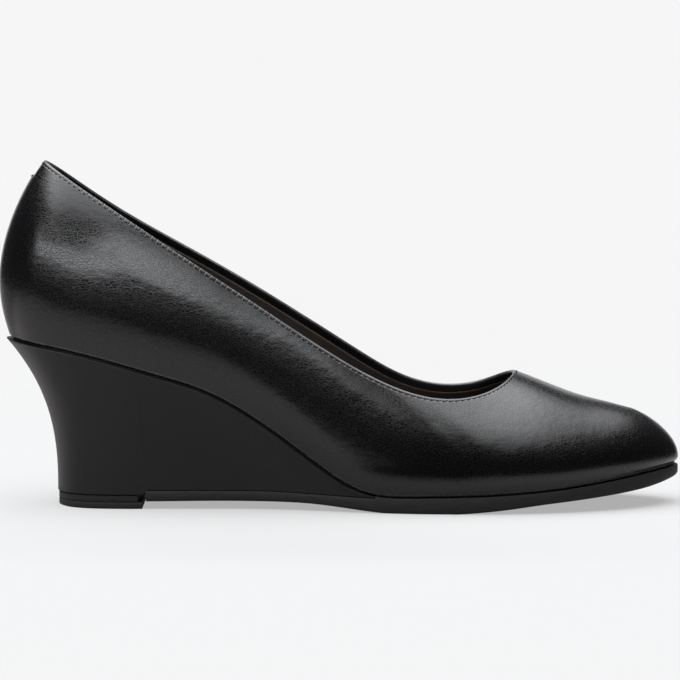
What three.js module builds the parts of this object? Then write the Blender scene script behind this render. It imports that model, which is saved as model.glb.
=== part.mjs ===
// A closed wedge pump for the right foot, in millimetres, heel towards -X, toe towards +X,
// outer side towards -Y, standing on the floor at Z = 0.
import * as THREE from 'three';

// The driving sizes.
const LENGTH = 245;          // back of the heel to the tip of the sole
const BALL_WIDTH = 73;       // across the feather edge at the ball
const HEEL_RISE = 55.6;      // the heel seat above the feather edge of the forepart
const UPPER_HEIGHT = 64.5;   // the top of the heel collar above the heel seat
const FORE_LEVEL = 5.7;      // the feather edge of the forepart above the floor
const TOE_SPRING = 8.3;      // the feather edge at the toe above that of the forepart
const BELLY = 3.4;           // how far the upper swells out past its feather edge
const BELLY_RISE = 20;       // height of the widest line of the heel above the seat
const WALL = 1.8;            // leather, stiffener and lining together
const GAP = 0.3;             // between pieces that touch
const TURN_IN = 3.2;         // the lasted edge of the upper, turned in under the foot
const CORNER = 1.0;          // rounding of the feather edge
const TAB_WIDTH = 10;        // the recessed tab at the back of the collar
const TAB_HEIGHT = 6.8;
const TAB_DEPTH = 0.5;
const THROAT_SHARE = 0.7575; // front of the opening, as a share of the length
const REACH_SHARE = 0.7;     // how far the tabled topline runs back from there
const INSOLE_THICK = 2.8;
const LIP = 0.8;             // the wedge stands out past the feather edge
const LIP_ROUND = 0.4;
const WEDGE_CURVE = 2.6;     // how hollow the wedge's sides are
const WEDGE_TIP = 0.55;      // thickness of the wedge's front edge
const SOLE_EDGE = 1.0;       // the outsole stands out past the feather edge
const SOLE_ROUND = 1.1;      // rounding of its lower edge
const WAIST_RISE = 3.1;      // the underside of the waist above the floor
const TREAD_FLAT = 0.2;     // pressed flat where the forepart stands on the floor
const LIFT_HEIGHT = 4.9;     // the heel's top piece
const LIFT_INSET = 0.4;
const LIFT_FRONT = 52.1;     // its front edge from the back of the shoe
const LIFT_STEP = 1.7;       // its tread layer runs further forward than its upper layer
const LIFT_TREAD = 2.4;      // thickness of that tread layer
const SOLE_BACK = 1.4;       // open distance from the top piece to the outsole

// The feather edge, from the back of the heel to the toe tip: place along the shoe, outer and
// inner half width, outward swell on each side, and height of the widest line above the seat.
const FEATHER = [
  { along: 0.0135, outer: 0.000, inner: 0.000, outBelly: 0.97, inBelly: 0.97, rise: 1.00 },
  { along: 0.0245, outer: 0.155, inner: 0.155, outBelly: 0.96, inBelly: 0.96, rise: 0.99 },
  { along: 0.0570, outer: 0.278, inner: 0.276, outBelly: 0.92, inBelly: 0.92, rise: 0.97 },
  { along: 0.1100, outer: 0.338, inner: 0.332, outBelly: 0.87, inBelly: 0.88, rise: 0.95 },
  { along: 0.1800, outer: 0.351, inner: 0.334, outBelly: 0.86, inBelly: 0.95, rise: 0.93 },
  { along: 0.2610, outer: 0.346, inner: 0.310, outBelly: 0.91, inBelly: 1.20, rise: 0.90 },
  { along: 0.3510, outer: 0.348, inner: 0.270, outBelly: 1.00, inBelly: 1.60, rise: 0.87 },
  { along: 0.4410, outer: 0.381, inner: 0.256, outBelly: 1.05, inBelly: 1.85, rise: 0.81 },
  { along: 0.5310, outer: 0.452, inner: 0.301, outBelly: 1.00, inBelly: 1.70, rise: 0.66 },
  { along: 0.6210, outer: 0.512, inner: 0.392, outBelly: 0.87, inBelly: 1.27, rise: 0.52 },
  { along: 0.7100, outer: 0.526, inner: 0.474, outBelly: 0.76, inBelly: 0.95, rise: 0.42 },
  { along: 0.7960, outer: 0.490, inner: 0.499, outBelly: 0.65, inBelly: 0.76, rise: 0.36 },
  { along: 0.8735, outer: 0.400, inner: 0.458, outBelly: 0.53, inBelly: 0.59, rise: 0.30 },
  { along: 0.9390, outer: 0.255, inner: 0.348, outBelly: 0.41, inBelly: 0.47, rise: 0.23 },
  { along: 0.9815, outer: 0.089, inner: 0.214, outBelly: 0.33, inBelly: 0.35, rise: 0.17 },
  { along: 0.9980, outer: -0.068, inner: 0.068, outBelly: 0.32, inBelly: 0.32, rise: 0.13 },
];

// The ridge that the sections of the last meet on, one row for each row above: place, shift to
// the inner side, height above the forepart, slope along the shoe, and fullness of the section.
const CREST = [
  { along: 0.155, side: 0.000, high: 1.115, slope: 0.00, full: 0.42 },
  { along: 0.159, side: 0.000, high: 1.115, slope: 0.00, full: 0.42 },
  { along: 0.171, side: 0.000, high: 1.117, slope: 0.00, full: 0.42 },
  { along: 0.192, side: 0.000, high: 1.117, slope: -0.08, full: 0.42 },
  { along: 0.225, side: 0.000, high: 1.110, slope: -0.25, full: 0.43 },
  { along: 0.274, side: 0.001, high: 1.076, slope: -0.50, full: 0.45 },
  { along: 0.339, side: 0.004, high: 0.988, slope: -0.80, full: 0.47 },
  { along: 0.416, side: 0.010, high: 0.847, slope: -0.92, full: 0.49 },
  { along: 0.506, side: 0.018, high: 0.681, slope: -0.90, full: 0.50 },
  { along: 0.600, side: 0.028, high: 0.520, slope: -0.78, full: 0.50 },
  { along: 0.690, side: 0.041, high: 0.407, slope: -0.50, full: 0.50 },
  { along: 0.771, side: 0.052, high: 0.342, slope: -0.41, full: 0.50 },
  { along: 0.841, side: 0.060, high: 0.286, slope: -0.33, full: 0.48 },
  { along: 0.890, side: 0.066, high: 0.258, slope: -0.27, full: 0.46 },
  { along: 0.922, side: 0.068, high: 0.241, slope: -0.30, full: 0.43 },
  { along: 0.933, side: 0.068, high: 0.235, slope: -0.36, full: 0.42 },
];

// The topline seen from the side, from the throat back to the collar's top, in even steps of the
// square root of the distance: height above the forepart on the outer and the inner side.
const TOPLINE = [
  { outer: 0.350, inner: 0.350 },
  { outer: 0.344, inner: 0.346 },
  { outer: 0.327, inner: 0.332 },
  { outer: 0.307, inner: 0.311 },
  { outer: 0.294, inner: 0.297 },
  { outer: 0.297, inner: 0.301 },
  { outer: 0.327, inner: 0.338 },
  { outer: 0.389, inner: 0.416 },
  { outer: 0.480, inner: 0.512 },
  { outer: 0.591, inner: 0.617 },
  { outer: 0.714, inner: 0.724 },
  { outer: 0.853, inner: 0.844 },
  { outer: 1.000, inner: 1.000 },
];

// The seat that the foot bears on, in even steps of a twelfth of half the length: shares of the
// heel's rise and of the toe's spring, and the underside of the waist and of the toe.
const SEAT = [
  { heel: 1.010, toe: 0.000, waist: 0.90, tip: 0.000 },
  { heel: 0.973, toe: 0.000, waist: 0.90, tip: 0.000 },
  { heel: 0.941, toe: 0.000, waist: 0.90, tip: 0.000 },
  { heel: 0.901, toe: 0.000, waist: 0.90, tip: 0.000 },
  { heel: 0.852, toe: 0.000, waist: 0.91, tip: 0.000 },
  { heel: 0.799, toe: 0.000, waist: 0.93, tip: 0.000 },
  { heel: 0.745, toe: 0.000, waist: 0.95, tip: 0.000 },
  { heel: 0.686, toe: 0.000, waist: 0.98, tip: 0.000 },
  { heel: 0.603, toe: 0.000, waist: 1.00, tip: 0.000 },
  { heel: 0.494, toe: 0.000, waist: 1.00, tip: 0.000 },
  { heel: 0.368, toe: 0.000, waist: 0.98, tip: 0.000 },
  { heel: 0.233, toe: 0.000, waist: 0.88, tip: 0.000 },
  { heel: 0.107, toe: 0.000, waist: 0.60, tip: 0.000 },
  { heel: 0.022, toe: 0.000, waist: 0.24, tip: 0.000 },
  { heel: 0.000, toe: 0.005, waist: 0.00, tip: 0.000 },
  { heel: 0.000, toe: 0.025, waist: 0.00, tip: 0.000 },
  { heel: 0.000, toe: 0.052, waist: 0.00, tip: 0.018 },
  { heel: 0.000, toe: 0.090, waist: 0.00, tip: 0.096 },
  { heel: 0.000, toe: 0.155, waist: 0.00, tip: 0.223 },
  { heel: 0.000, toe: 0.245, waist: 0.00, tip: 0.380 },
  { heel: 0.000, toe: 0.365, waist: 0.00, tip: 0.506 },
  { heel: 0.000, toe: 0.520, waist: 0.00, tip: 0.627 },
  { heel: 0.000, toe: 0.690, waist: 0.00, tip: 0.760 },
  { heel: 0.000, toe: 0.860, waist: 0.00, tip: 0.940 },
  { heel: 0.000, toe: 1.000, waist: 0.00, tip: 1.230 },
];

// How far the foot of the wedge is drawn in from the feather edge, for each row of that edge.
const TUCK = [
  { along: 0.0747, outer: 0.000, inner: 0.000 },
  { along: 0.0700, outer: 0.040, inner: 0.040 },
  { along: 0.0570, outer: 0.059, inner: 0.059 },
  { along: 0.0375, outer: 0.066, inner: 0.064 },
  { along: 0.0170, outer: 0.064, inner: 0.061 },
  { along: 0.0060, outer: 0.061, inner: 0.057 },
  { along: 0.0010, outer: 0.058, inner: 0.048 },
  { along: 0.0000, outer: 0.037, inner: 0.031 },
  { along: 0.0000, outer: 0.008, inner: 0.008 },
];

const ROWS = FEATHER.length - 1;
const STAND = HEEL_RISE + UPPER_HEIGHT;

// A smooth curve through values at whole numbers, closed on itself or with free ends.
function curve(values, closed) {
  const n = values.length;
  const bend = new Array(n).fill(0);
  const at = (list, i) => list[(i + n) % n];
  for (let pass = 0; pass < 60; pass += 1) {
    for (let i = closed ? 0 : 1; i < (closed ? n : n - 1); i += 1) {
      const pull = 6 * (at(values, i - 1) - 2 * values[i] + at(values, i + 1));
      bend[i] = (pull - at(bend, i - 1) - at(bend, i + 1)) / 4;
    }
  }
  return (u) => {
    const last = closed ? Infinity : n - 2;
    const i = Math.max(closed ? -Infinity : 0, Math.min(last, Math.floor(u)));
    const b = u - i;
    const a = 1 - b;
    const p = at(values, (i % n) + n);
    const q = at(values, ((i + 1) % n) + n);
    const bp = at(bend, (i % n) + n);
    const bq = at(bend, ((i + 1) % n) + n);
    return a * p + b * q + ((a * a * a - a) * bp + (b * b * b - b) * bq) / 6;
  };
}

// A column of the tables as a function of the place around the shoe: 0 at the back of the heel,
// then along the outer side to ROWS at the toe tip, and back along the inner side to 2 * ROWS.
function around(outerOf, innerOf) {
  const values = [];
  for (let i = 0; i <= ROWS; i += 1) values.push(outerOf(i));
  for (let i = ROWS - 1; i >= 1; i -= 1) values.push(innerOf(i));
  return curve(values, true);
}

const featherX = around((i) => FEATHER[i].along * LENGTH, (i) => FEATHER[i].along * LENGTH);
const featherY = around((i) => -FEATHER[i].outer * BALL_WIDTH, (i) => FEATHER[i].inner * BALL_WIDTH);
const bellyOut = around((i) => FEATHER[i].outBelly * BELLY, (i) => FEATHER[i].inBelly * BELLY);
const bellyUp = around((i) => FEATHER[i].rise * BELLY_RISE, (i) => FEATHER[i].rise * BELLY_RISE);
const crestOf = (name, size) => around((i) => CREST[i][name] * size, (i) => CREST[i][name] * size);
const crestX = crestOf('along', LENGTH);
const crestY = crestOf('side', BALL_WIDTH);
const crestZ = crestOf('high', STAND);
const crestSlope = crestOf('slope', 1);
const fullness = crestOf('full', 1);
const tuckOf = (name, size) => (i) => (i < TUCK.length ? TUCK[i][name] * size : 0);
const tuckX = around(tuckOf('along', LENGTH), tuckOf('along', LENGTH));
const tuckY = around(tuckOf('outer', BALL_WIDTH), (i) => -tuckOf('inner', BALL_WIDTH)(i));

// Heights along the shoe, from evenly spaced rows.
function profile(name, size) {
  const line = curve(SEAT.map((row) => row[name] * size), false);
  return (x) => line((x / LENGTH) * (SEAT.length - 1));
}
const seatHeel = profile('heel', HEEL_RISE);
const seatToe = profile('toe', TOE_SPRING);
const soleWaist = profile('waist', WAIST_RISE);
const soleTip = profile('tip', TOE_SPRING);
const seat = (x) => FORE_LEVEL + seatHeel(x) + seatToe(x);
const tread = (x) => Math.max(0, soleWaist(x) + soleTip(x) - TREAD_FLAT);

// Finds where a rising function of one value crosses nought.
function crossing(low, high, rising) {
  let a = low;
  let b = high;
  for (let i = 0; i < 44; i += 1) {
    const middle = (a + b) / 2;
    if (rising(middle) > 0) b = middle;
    else a = middle;
  }
  return (a + b) / 2;
}

const throatX = THROAT_SHARE * LENGTH;
const throatW = crossing(8, 13, (w) => crestX(w) - throatX);
const throatZ = crestZ(throatW);
const lineOf = (side) => curve(TOPLINE.map((row, i) => (i === 0 ? throatZ : row[side] * STAND)), false);
const outerLine = lineOf('outer');
const innerLine = lineOf('inner');
function topline(x, inner) {
  const share = Math.sqrt(Math.max(0, throatX - x) / (REACH_SHARE * LENGTH));
  const line = inner ? innerLine : outerLine;
  return FORE_LEVEL + line(share * (TOPLINE.length - 1));
}

function bezier(p, t) {
  const s = 1 - t;
  const out = [0, 0, 0];
  for (let k = 0; k < 3; k += 1) {
    out[k] = s * s * s * p[0][k] + 3 * s * s * t * p[1][k] + 3 * s * t * t * p[2][k] + t * t * t * p[3][k];
  }
  return out;
}

// The outward direction of the feather edge, seen from above.
function outward(u) {
  const dx = featherX(u + 0.01) - featherX(u - 0.01);
  const dy = featherY(u + 0.01) - featherY(u - 0.01);
  const size = Math.hypot(dx, dy);
  return [dy / size, -dx / size];
}

// A point beside the feather edge: so far out, so far above the seat.
function beside(u, out, up) {
  const n = outward(u);
  const x = featherX(u) + n[0] * out;
  return [x, featherY(u) + n[1] * out, seat(x) + up];
}

// The last's surface over one place of the feather edge: t from 0 at the feather edge to 1 at
// the widest line, and on to 2 at the ridge.
function section(u) {
  const n = outward(u);
  const foot = beside(u, 0, CORNER);
  const out = bellyOut(u);
  const wide = [foot[0] + n[0] * out, foot[1] + n[1] * out, foot[2] - CORNER + bellyUp(u)];
  const rise = wide[2] - foot[2];
  const lower = [
    foot,
    [foot[0] + n[0] * out * 0.55, foot[1] + n[1] * out * 0.55, foot[2] + rise * 0.3],
    [wide[0], wide[1], wide[2] - rise * 0.4],
    wide,
  ];
  const top = [crestX(u), crestY(u), FORE_LEVEL + crestZ(u)];
  const full = fullness(u);
  const back = [(wide[0] - top[0]) * (full + 0.02), (wide[1] - top[1]) * (full + 0.02)];
  const upper = [
    wide,
    [wide[0], wide[1], wide[2] + (top[2] - wide[2]) * full],
    [top[0] + back[0], top[1] + back[1], top[2] + back[0] * crestSlope(u)],
    top,
  ];
  return { lower, upper };
}

function lastPoint(u, t) {
  const part = section(u);
  return t < 1 ? bezier(part.lower, t) : bezier(part.upper, t - 1);
}

function lastNormal(u, t) {
  if (t > 1.9999) {
    const slope = crestSlope(u);
    const size = Math.hypot(slope, 1);
    return [-slope / size, 0, 1 / size];
  }
  const a = lastPoint(u - 0.01, t);
  const b = lastPoint(u + 0.01, t);
  const c = lastPoint(u, t - 0.001);
  const d = lastPoint(u, t + 0.001);
  const along = new THREE.Vector3(b[0] - a[0], b[1] - a[1], b[2] - a[2]);
  const up = new THREE.Vector3(d[0] - c[0], d[1] - c[1], d[2] - c[2]);
  const n = along.cross(up).normalize();
  return [n.x, n.y, n.z];
}

const offset = (p, n, by) => [p[0] + n[0] * by, p[1] + n[1] * by, p[2] + n[2] * by];

// Where the topline cuts the section, or 2 where the vamp is closed.
function cut(u) {
  const w = Math.min(u, 2 * ROWS - u);
  if (w >= throatW - 1e-9) return 2;
  const inner = u > ROWS;
  return crossing(1, 2, (t) => {
    const p = lastPoint(u, t);
    return p[2] - topline(p[0], inner);
  });
}

// Places down a section from its top, by length of surface.
function fromTop(u, top, distances) {
  const steps = 48;
  const lengths = [0];
  let before = lastPoint(u, top);
  for (let i = 1; i <= steps; i += 1) {
    const p = lastPoint(u, top + ((1 - top) * i) / steps);
    lengths.push(lengths[i - 1] + Math.hypot(p[0] - before[0], p[1] - before[1], p[2] - before[2]));
    before = p;
  }
  return distances(lengths[steps]).map((d) => {
    let i = 1;
    while (i < steps && lengths[i] < d) i += 1;
    const share = i - 1 + (d - lengths[i - 1]) / (lengths[i] - lengths[i - 1]);
    return top + ((1 - top) * Math.min(steps, share)) / steps;
  });
}

// One solid from its points and its quads. Quads that fold to a line are left out.
function solid(name, material, points, quads) {
  const keys = new Map();
  const position = [];
  const number = points.map((p) => {
    const key = p.map((v) => Math.round(v * 5000)).join(',');
    if (!keys.has(key)) {
      keys.set(key, position.length / 3);
      position.push(p[0], p[1], p[2]);
    }
    return keys.get(key);
  });
  const index = [];
  const triangle = (a, b, c) => {
    if (a !== b && b !== c && c !== a) index.push(a, b, c);
  };
  const spot = (i) => new THREE.Vector3().fromArray(position, 3 * i);
  for (const quad of quads) {
    const [a, b, c, d] = quad.map((i) => number[i]);
    if (spot(a).distanceTo(spot(c)) <= spot(b).distanceTo(spot(d))) {
      triangle(a, b, c);
      triangle(a, c, d);
    } else {
      triangle(a, b, d);
      triangle(b, c, d);
    }
  }
  const geometry = new THREE.BufferGeometry();
  geometry.setAttribute('position', new THREE.Float32BufferAttribute(position, 3));
  geometry.setIndex(index);
  geometry.computeVertexNormals();
  const mesh = new THREE.Mesh(geometry, material);
  mesh.name = name;
  return mesh;
}

// Places around half of the shoe, closer together at the throat and the ends of the tab.
const tabW = crossing(0.02, 2, (w) => Math.abs(lastPoint(w, cut(w))[1]) - TAB_WIDTH / 2);
const HALF = [0, tabW * 0.5, tabW * 0.97, tabW * 1.03];
const CLUSTER = 2.2;
for (let w = tabW + 0.32; w < throatW - CLUSTER - 0.1; w += 0.42) HALF.push(w);
for (let i = 0; i <= 9; i += 1) HALF.push(throatW - CLUSTER * (1 - i / 9) ** 2);
for (let i = 1; i <= 14; i += 1) HALF.push(throatW + ((ROWS - throatW) * i) / 14);

// The upper: the last's surface, its wall, its lasted edge turned in, the tab let into its back.
function makeUpper(material) {
  const places = [...HALF, ...HALF.slice(1, -1).reverse().map((w) => 2 * ROWS - w)];
  const shell = places.map((u) => {
    const w = Math.min(u, 2 * ROWS - u);
    const top = cut(u);
    const inTab = w < tabW;
    const ts = fromTop(u, top, (full) => {
      const body = full - TAB_HEIGHT - 0.2;
      const list = [0, TAB_HEIGHT / 2, TAB_HEIGHT - 0.2, TAB_HEIGHT + 0.2];
      for (let i = 1; i < 6; i += 1) list.push(TAB_HEIGHT + 0.2 + (body * i) / 6);
      return list;
    });
    ts.push(1, 0.66, 0.33);
    const faces = ts.map((t) => ({ t, p: lastPoint(u, t), n: lastNormal(u, t) }));
    const outside = faces.map((f, i) => (inTab && i < 3 ? offset(f.p, f.n, -TAB_DEPTH) : f.p));
    outside.push(beside(u, 0, CORNER), beside(u, -0.3 * CORNER, 0.3 * CORNER), beside(u, -CORNER, 0));
    const inside = faces.slice(0, -1).map((f) => offset(f.p, f.n, -WALL));
    return [...outside, beside(u, -TURN_IN, 0), ...inside.reverse()];
  });
  const points = shell.flat();
  const quads = [];
  const across = shell[0].length;
  for (let i = 0; i < shell.length; i += 1) {
    const next = (i + 1) % shell.length;
    for (let j = 0; j < across; j += 1) {
      const k = (j + 1) % across;
      const closed = j === across - 1 && cut(places[i]) === 2 && cut(places[next]) === 2;
      if (!closed) quads.push([i * across + j, i * across + k, next * across + k, next * across + j]);
    }
  }
  return solid('upper', material, points, quads);
}

// A flat piece between its two sides: the edge from its upper to its lower face at each place.
function slab(name, material, places, edge) {
  const rings = places.map((w) => [...edge(w), ...edge(2 * ROWS - w).reverse()]);
  const points = rings.flat();
  const across = rings[0].length;
  const half = across / 2;
  const quads = [];
  for (let i = 0; i + 1 < rings.length; i += 1) {
    for (let j = 0; j < across; j += 1) {
      const k = (j + 1) % across;
      const a = i * across;
      const b = (i + 1) * across;
      quads.push([a + j, a + k, b + k, b + j]);
    }
  }
  const last = (rings.length - 1) * across;
  for (let j = 0; j + 1 < half; j += 1) {
    const far = across - 1 - j;
    quads.push([j, far, far - 1, j + 1]);
    quads.push([last + j, last + j + 1, last + far - 1, last + far]);
  }
  return solid(name, material, points, quads);
}

// The foot of the wedge and the outline of the tread under it.
function treadEdge(u, out) {
  const n = outward(u);
  return [featherX(u) + tuckX(u) + n[0] * out, featherY(u) + tuckY(u) + n[1] * out];
}
const treadW = (x) => crossing(0, ROWS / 2, (w) => treadEdge(w, 0)[0] - x);

// The outsole's upper face under the wedge, thinning towards the wedge's front edge.
const waistTop = (x) => FORE_LEVEL * (0.9 + 0.25 * Math.min(1, Math.max(0, (0.56 - x / LENGTH) / 0.16)));
const wedgeRoom = (x) => seat(x) - waistTop(x) - 2 * GAP;
const wedgeFront = crossing(0.4 * LENGTH, 0.58 * LENGTH, (x) => WEDGE_TIP - wedgeRoom(x));
const wedgeFrontW = crossing(6, 10, (w) => featherX(w) - wedgeFront);
const liftW = treadW(LIFT_FRONT);
const soleW = treadW(LIFT_FRONT + SOLE_BACK);

function makeWedge(material) {
  const stepW = [treadW(LIFT_FRONT + SOLE_BACK * 0.4), treadW(LIFT_FRONT + SOLE_BACK * 0.6)];
  const places = HALF.filter((w) => w < wedgeFrontW - 0.05 && stepW.every((s) => Math.abs(w - s) > 0.05));
  places.push(wedgeFrontW, ...stepW);
  places.sort((a, b) => a - b);
  const steps = [0.03, 0.1, 0.2, 0.32, 0.45, 0.6, 0.8, 1];
  return slab('wedge', material, places, (u) => {
    const foot = treadEdge(u, LIP);
    const over = foot[0] < LIFT_FRONT + SOLE_BACK / 2;
    const low = (over ? LIFT_HEIGHT : waistTop(foot[0])) + GAP;
    const head = beside(u, LIP, -GAP);
    const round = Math.min(LIP_ROUND, (head[2] - low) * 0.3);
    const list = [beside(u, LIP - round, -GAP), beside(u, LIP - round * 0.3, -GAP - round * 0.3)];
    const start = head[2] - round;
    for (const f of [0, ...steps]) {
      const in_ = 1 - (1 - f) ** WEDGE_CURVE;
      const x = head[0] + (foot[0] - head[0]) * in_;
      list.push([x, head[1] + (foot[1] - head[1]) * in_, start + (low - start) * f]);
    }
    return list;
  });
}

function makeOutsole(material) {
  const stepX = [wedgeFront + GAP, wedgeFront + GAP + 0.08];
  const stepW = stepX.map((x) => crossing(6, 10, (w) => featherX(w) - x));
  const places = HALF.filter((w) => w > soleW + 0.05 && stepW.every((s) => Math.abs(w - s) > 0.05));
  places.push(soleW, ...stepW);
  places.sort((a, b) => a - b);
  const topZ = (w, x) => (w < (stepW[0] + stepW[1]) / 2 ? waistTop(x) : seat(x) - GAP);
  return slab('outsole', material, places, (u) => {
    const w = Math.min(u, 2 * ROWS - u);
    const rows = [-SOLE_ROUND * 0.35, 0, 0, -SOLE_ROUND * 0.3, -SOLE_ROUND].map((out) => treadEdge(u, SOLE_EDGE + out));
    const low = (p) => tread(p[0]);
    return [
      [...rows[0], topZ(w, rows[0][0])],
      [...rows[1], topZ(w, rows[1][0]) - SOLE_ROUND * 0.35],
      [...rows[2], low(rows[2]) + SOLE_ROUND],
      [...rows[3], low(rows[3]) + SOLE_ROUND * 0.3],
      [...rows[4], low(rows[4])],
    ];
  });
}

function makeLift(material) {
  const stepW = [treadW(LIFT_FRONT - LIFT_STEP), treadW(LIFT_FRONT - LIFT_STEP + 0.08)];
  const places = HALF.filter((w) => w < liftW - 0.05 && stepW.every((s) => Math.abs(w - s) > 0.05));
  places.push(liftW, ...stepW);
  places.sort((a, b) => a - b);
  const layer = (w) => (w < (stepW[0] + stepW[1]) / 2 ? LIFT_HEIGHT : LIFT_TREAD);
  return slab('heel_lift', material, places, (u) => {
    const high = layer(Math.min(u, 2 * ROWS - u));
    const side = treadEdge(u, LIP - LIFT_INSET);
    const under = treadEdge(u, LIP - LIFT_INSET - 0.5);
    return [[...side, high], [...side, 0.5], [...under, 0]];
  });
}

function makeInsole(material) {
  return slab('insole', material, HALF, (u) => [
    beside(u, -TURN_IN + 0.4, INSOLE_THICK),
    beside(u, -TURN_IN + 0.6, INSOLE_THICK - 0.5),
    beside(u, -TURN_IN - 0.35, 0),
  ]);
}

const leather = new THREE.MeshStandardMaterial({ color: 0x17171a, roughness: 0.34, metalness: 0 });
leather.name = 'upper_leather';
const covering = new THREE.MeshStandardMaterial({ color: 0x1d1d1f, roughness: 0.5, metalness: 0 });
covering.name = 'wedge_covering';
const rubber = new THREE.MeshStandardMaterial({ color: 0x141415, roughness: 0.6, metalness: 0 });
rubber.name = 'sole_rubber';
const liftRubber = new THREE.MeshStandardMaterial({ color: 0x111112, roughness: 0.65, metalness: 0 });
liftRubber.name = 'lift_rubber';
const lining = new THREE.MeshStandardMaterial({ color: 0x2c2620, roughness: 0.7, metalness: 0 });
lining.name = 'insole_leather';

const shoe = new THREE.Group();
shoe.name = 'wedge_pump';
shoe.add(makeUpper(leather));
shoe.add(makeInsole(lining));
shoe.add(makeWedge(covering));
shoe.add(makeOutsole(rubber));
shoe.add(makeLift(liftRubber));

// The origin goes on the floor, under the middle of the shoe.
const box = new THREE.Box3().setFromObject(shoe);
const middle = box.getCenter(new THREE.Vector3());
for (const mesh of shoe.children) mesh.geometry.translate(-middle.x, -middle.y, -box.min.z);

export default shoe;
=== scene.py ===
import math
import bmesh
import bpy
import numpy as np
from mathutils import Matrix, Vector


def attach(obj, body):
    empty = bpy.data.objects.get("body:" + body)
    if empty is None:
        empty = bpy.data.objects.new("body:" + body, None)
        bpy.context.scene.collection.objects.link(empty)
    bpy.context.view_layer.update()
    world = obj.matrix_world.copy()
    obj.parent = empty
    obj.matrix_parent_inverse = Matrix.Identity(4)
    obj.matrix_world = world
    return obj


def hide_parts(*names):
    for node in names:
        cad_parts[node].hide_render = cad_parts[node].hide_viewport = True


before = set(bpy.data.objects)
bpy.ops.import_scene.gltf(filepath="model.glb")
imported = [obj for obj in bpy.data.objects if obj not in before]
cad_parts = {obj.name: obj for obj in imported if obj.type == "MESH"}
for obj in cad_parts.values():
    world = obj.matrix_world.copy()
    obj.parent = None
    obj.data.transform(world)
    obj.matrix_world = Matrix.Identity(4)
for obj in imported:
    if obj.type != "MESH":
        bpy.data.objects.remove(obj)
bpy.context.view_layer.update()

# The camera: a long lens a metre and a half from the outer side of the shoe, a little above it,
# so that the shoe is seen from the side and the far wall of the opening just shows.
CAMERA_PLACE = Vector((0.00006, -1.599, 0.1815))
CAMERA_AIM = Vector((0.00006, 0.001, 0.059))


def placed(name, data):
    """A new object in the scene."""
    thing = bpy.data.objects.new(name, data)
    bpy.context.scene.collection.objects.link(thing)
    return thing


camera = placed("camera", bpy.data.cameras.new("camera"))
camera.data.sensor_width = 36
camera.data.lens = 235.1
camera.data.clip_start = 0.05
camera.data.clip_end = 100
camera.location = CAMERA_PLACE
camera.rotation_euler = (CAMERA_AIM - CAMERA_PLACE).to_track_quat("-Z", "Y").to_euler()
bpy.context.scene.camera = camera

# The insole: a stiff board under a dark leather sock, cut to the feather edge of the last. It is
# the first piece on the last, and the upper's lasted edge is cemented round it.
LAST_LENGTH = 0.245
BALL_WIDTH = 0.073
HEEL_RISE = 0.0556
FORE_LEVEL = 0.0057
TOE_SPRING = 0.0083
SHOE_MIDDLE = np.array([0.122804, -0.000991, 0.0])
INSOLE_THICK = 0.0029
INSOLE_INSET = 0.0023
SEAT_HOLLOW = 0.0005
HOLLOW_FROM, HOLLOW_OVER = 0.004, 0.010

# The feather edge from the back of the heel to the toe tip: place along the shoe, then the outer
# and the inner half width.
FEATHER = np.array([
    [0.0135, 0.000, 0.000], [0.0245, 0.155, 0.155], [0.0570, 0.278, 0.276], [0.1100, 0.338, 0.332],
    [0.1800, 0.351, 0.334], [0.2610, 0.346, 0.310], [0.3510, 0.348, 0.270], [0.4410, 0.381, 0.256],
    [0.5310, 0.452, 0.301], [0.6210, 0.512, 0.392], [0.7100, 0.526, 0.474], [0.7960, 0.490, 0.499],
    [0.8735, 0.400, 0.458], [0.9390, 0.255, 0.348], [0.9815, 0.089, 0.214], [0.9980, -0.068, 0.068],
])
# The seat in even steps from heel to toe: shares of the heel's rise, then of the toe's spring.
SEAT_HEEL = [1.010, 0.973, 0.941, 0.901, 0.852, 0.799, 0.745, 0.686, 0.603, 0.494, 0.368, 0.233,
             0.107, 0.022] + [0] * 11
SEAT_TOE = [0] * 14 + [0.005, 0.025, 0.052, 0.090, 0.155, 0.245, 0.365, 0.520, 0.690, 0.860, 1.000]
TOE_ROW = len(FEATHER) - 1
ROW_HAIR = 0.01


def fair_curve(values, closed=False):
    """A smooth curve through values at whole numbers, as a batten lies through them."""
    knots = np.array(values, float)
    n = len(knots)
    pull = np.zeros((n, n))
    load = np.zeros(n)
    for i in range(n):
        pull[i, i] = 4 if closed or 0 < i < n - 1 else 1
        if closed or 0 < i < n - 1:
            pull[i, (i - 1) % n] += 1
            pull[i, (i + 1) % n] += 1
            load[i] = 6 * (knots[i - 1] - 2 * knots[i] + knots[(i + 1) % n])
    bend = np.linalg.solve(pull, load)

    def at(place):
        place = np.asarray(place, float)
        i = np.floor(place).astype(int)
        if not closed:
            i = np.clip(i, 0, n - 2)
        b = place - i
        a = 1 - b
        p, q = i % n, (i + 1) % n
        bow = (a ** 3 - a) * bend[p] + (b ** 3 - b) * bend[q]
        return a * knots[p] + b * knots[q] + bow / 6

    return at


def round_last(outer, inner=None):
    """A value around the last: 0 at the back, TOE_ROW at the toe tip, on by the inner side."""
    inner = outer if inner is None else inner
    return fair_curve(list(outer) + list(inner[-2:0:-1]), closed=True)


feather_x = round_last(FEATHER[:, 0] * LAST_LENGTH)
feather_y = round_last(-FEATHER[:, 1] * BALL_WIDTH, FEATHER[:, 2] * BALL_WIDTH)
seat_heel = fair_curve(np.array(SEAT_HEEL) * HEEL_RISE)
seat_toe = fair_curve(np.array(SEAT_TOE) * TOE_SPRING)


def seat(x):
    """Height of the seat that the foot bears on."""
    share = x / LAST_LENGTH * (len(SEAT_HEEL) - 1)
    return FORE_LEVEL + seat_heel(share) + seat_toe(share)


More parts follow.
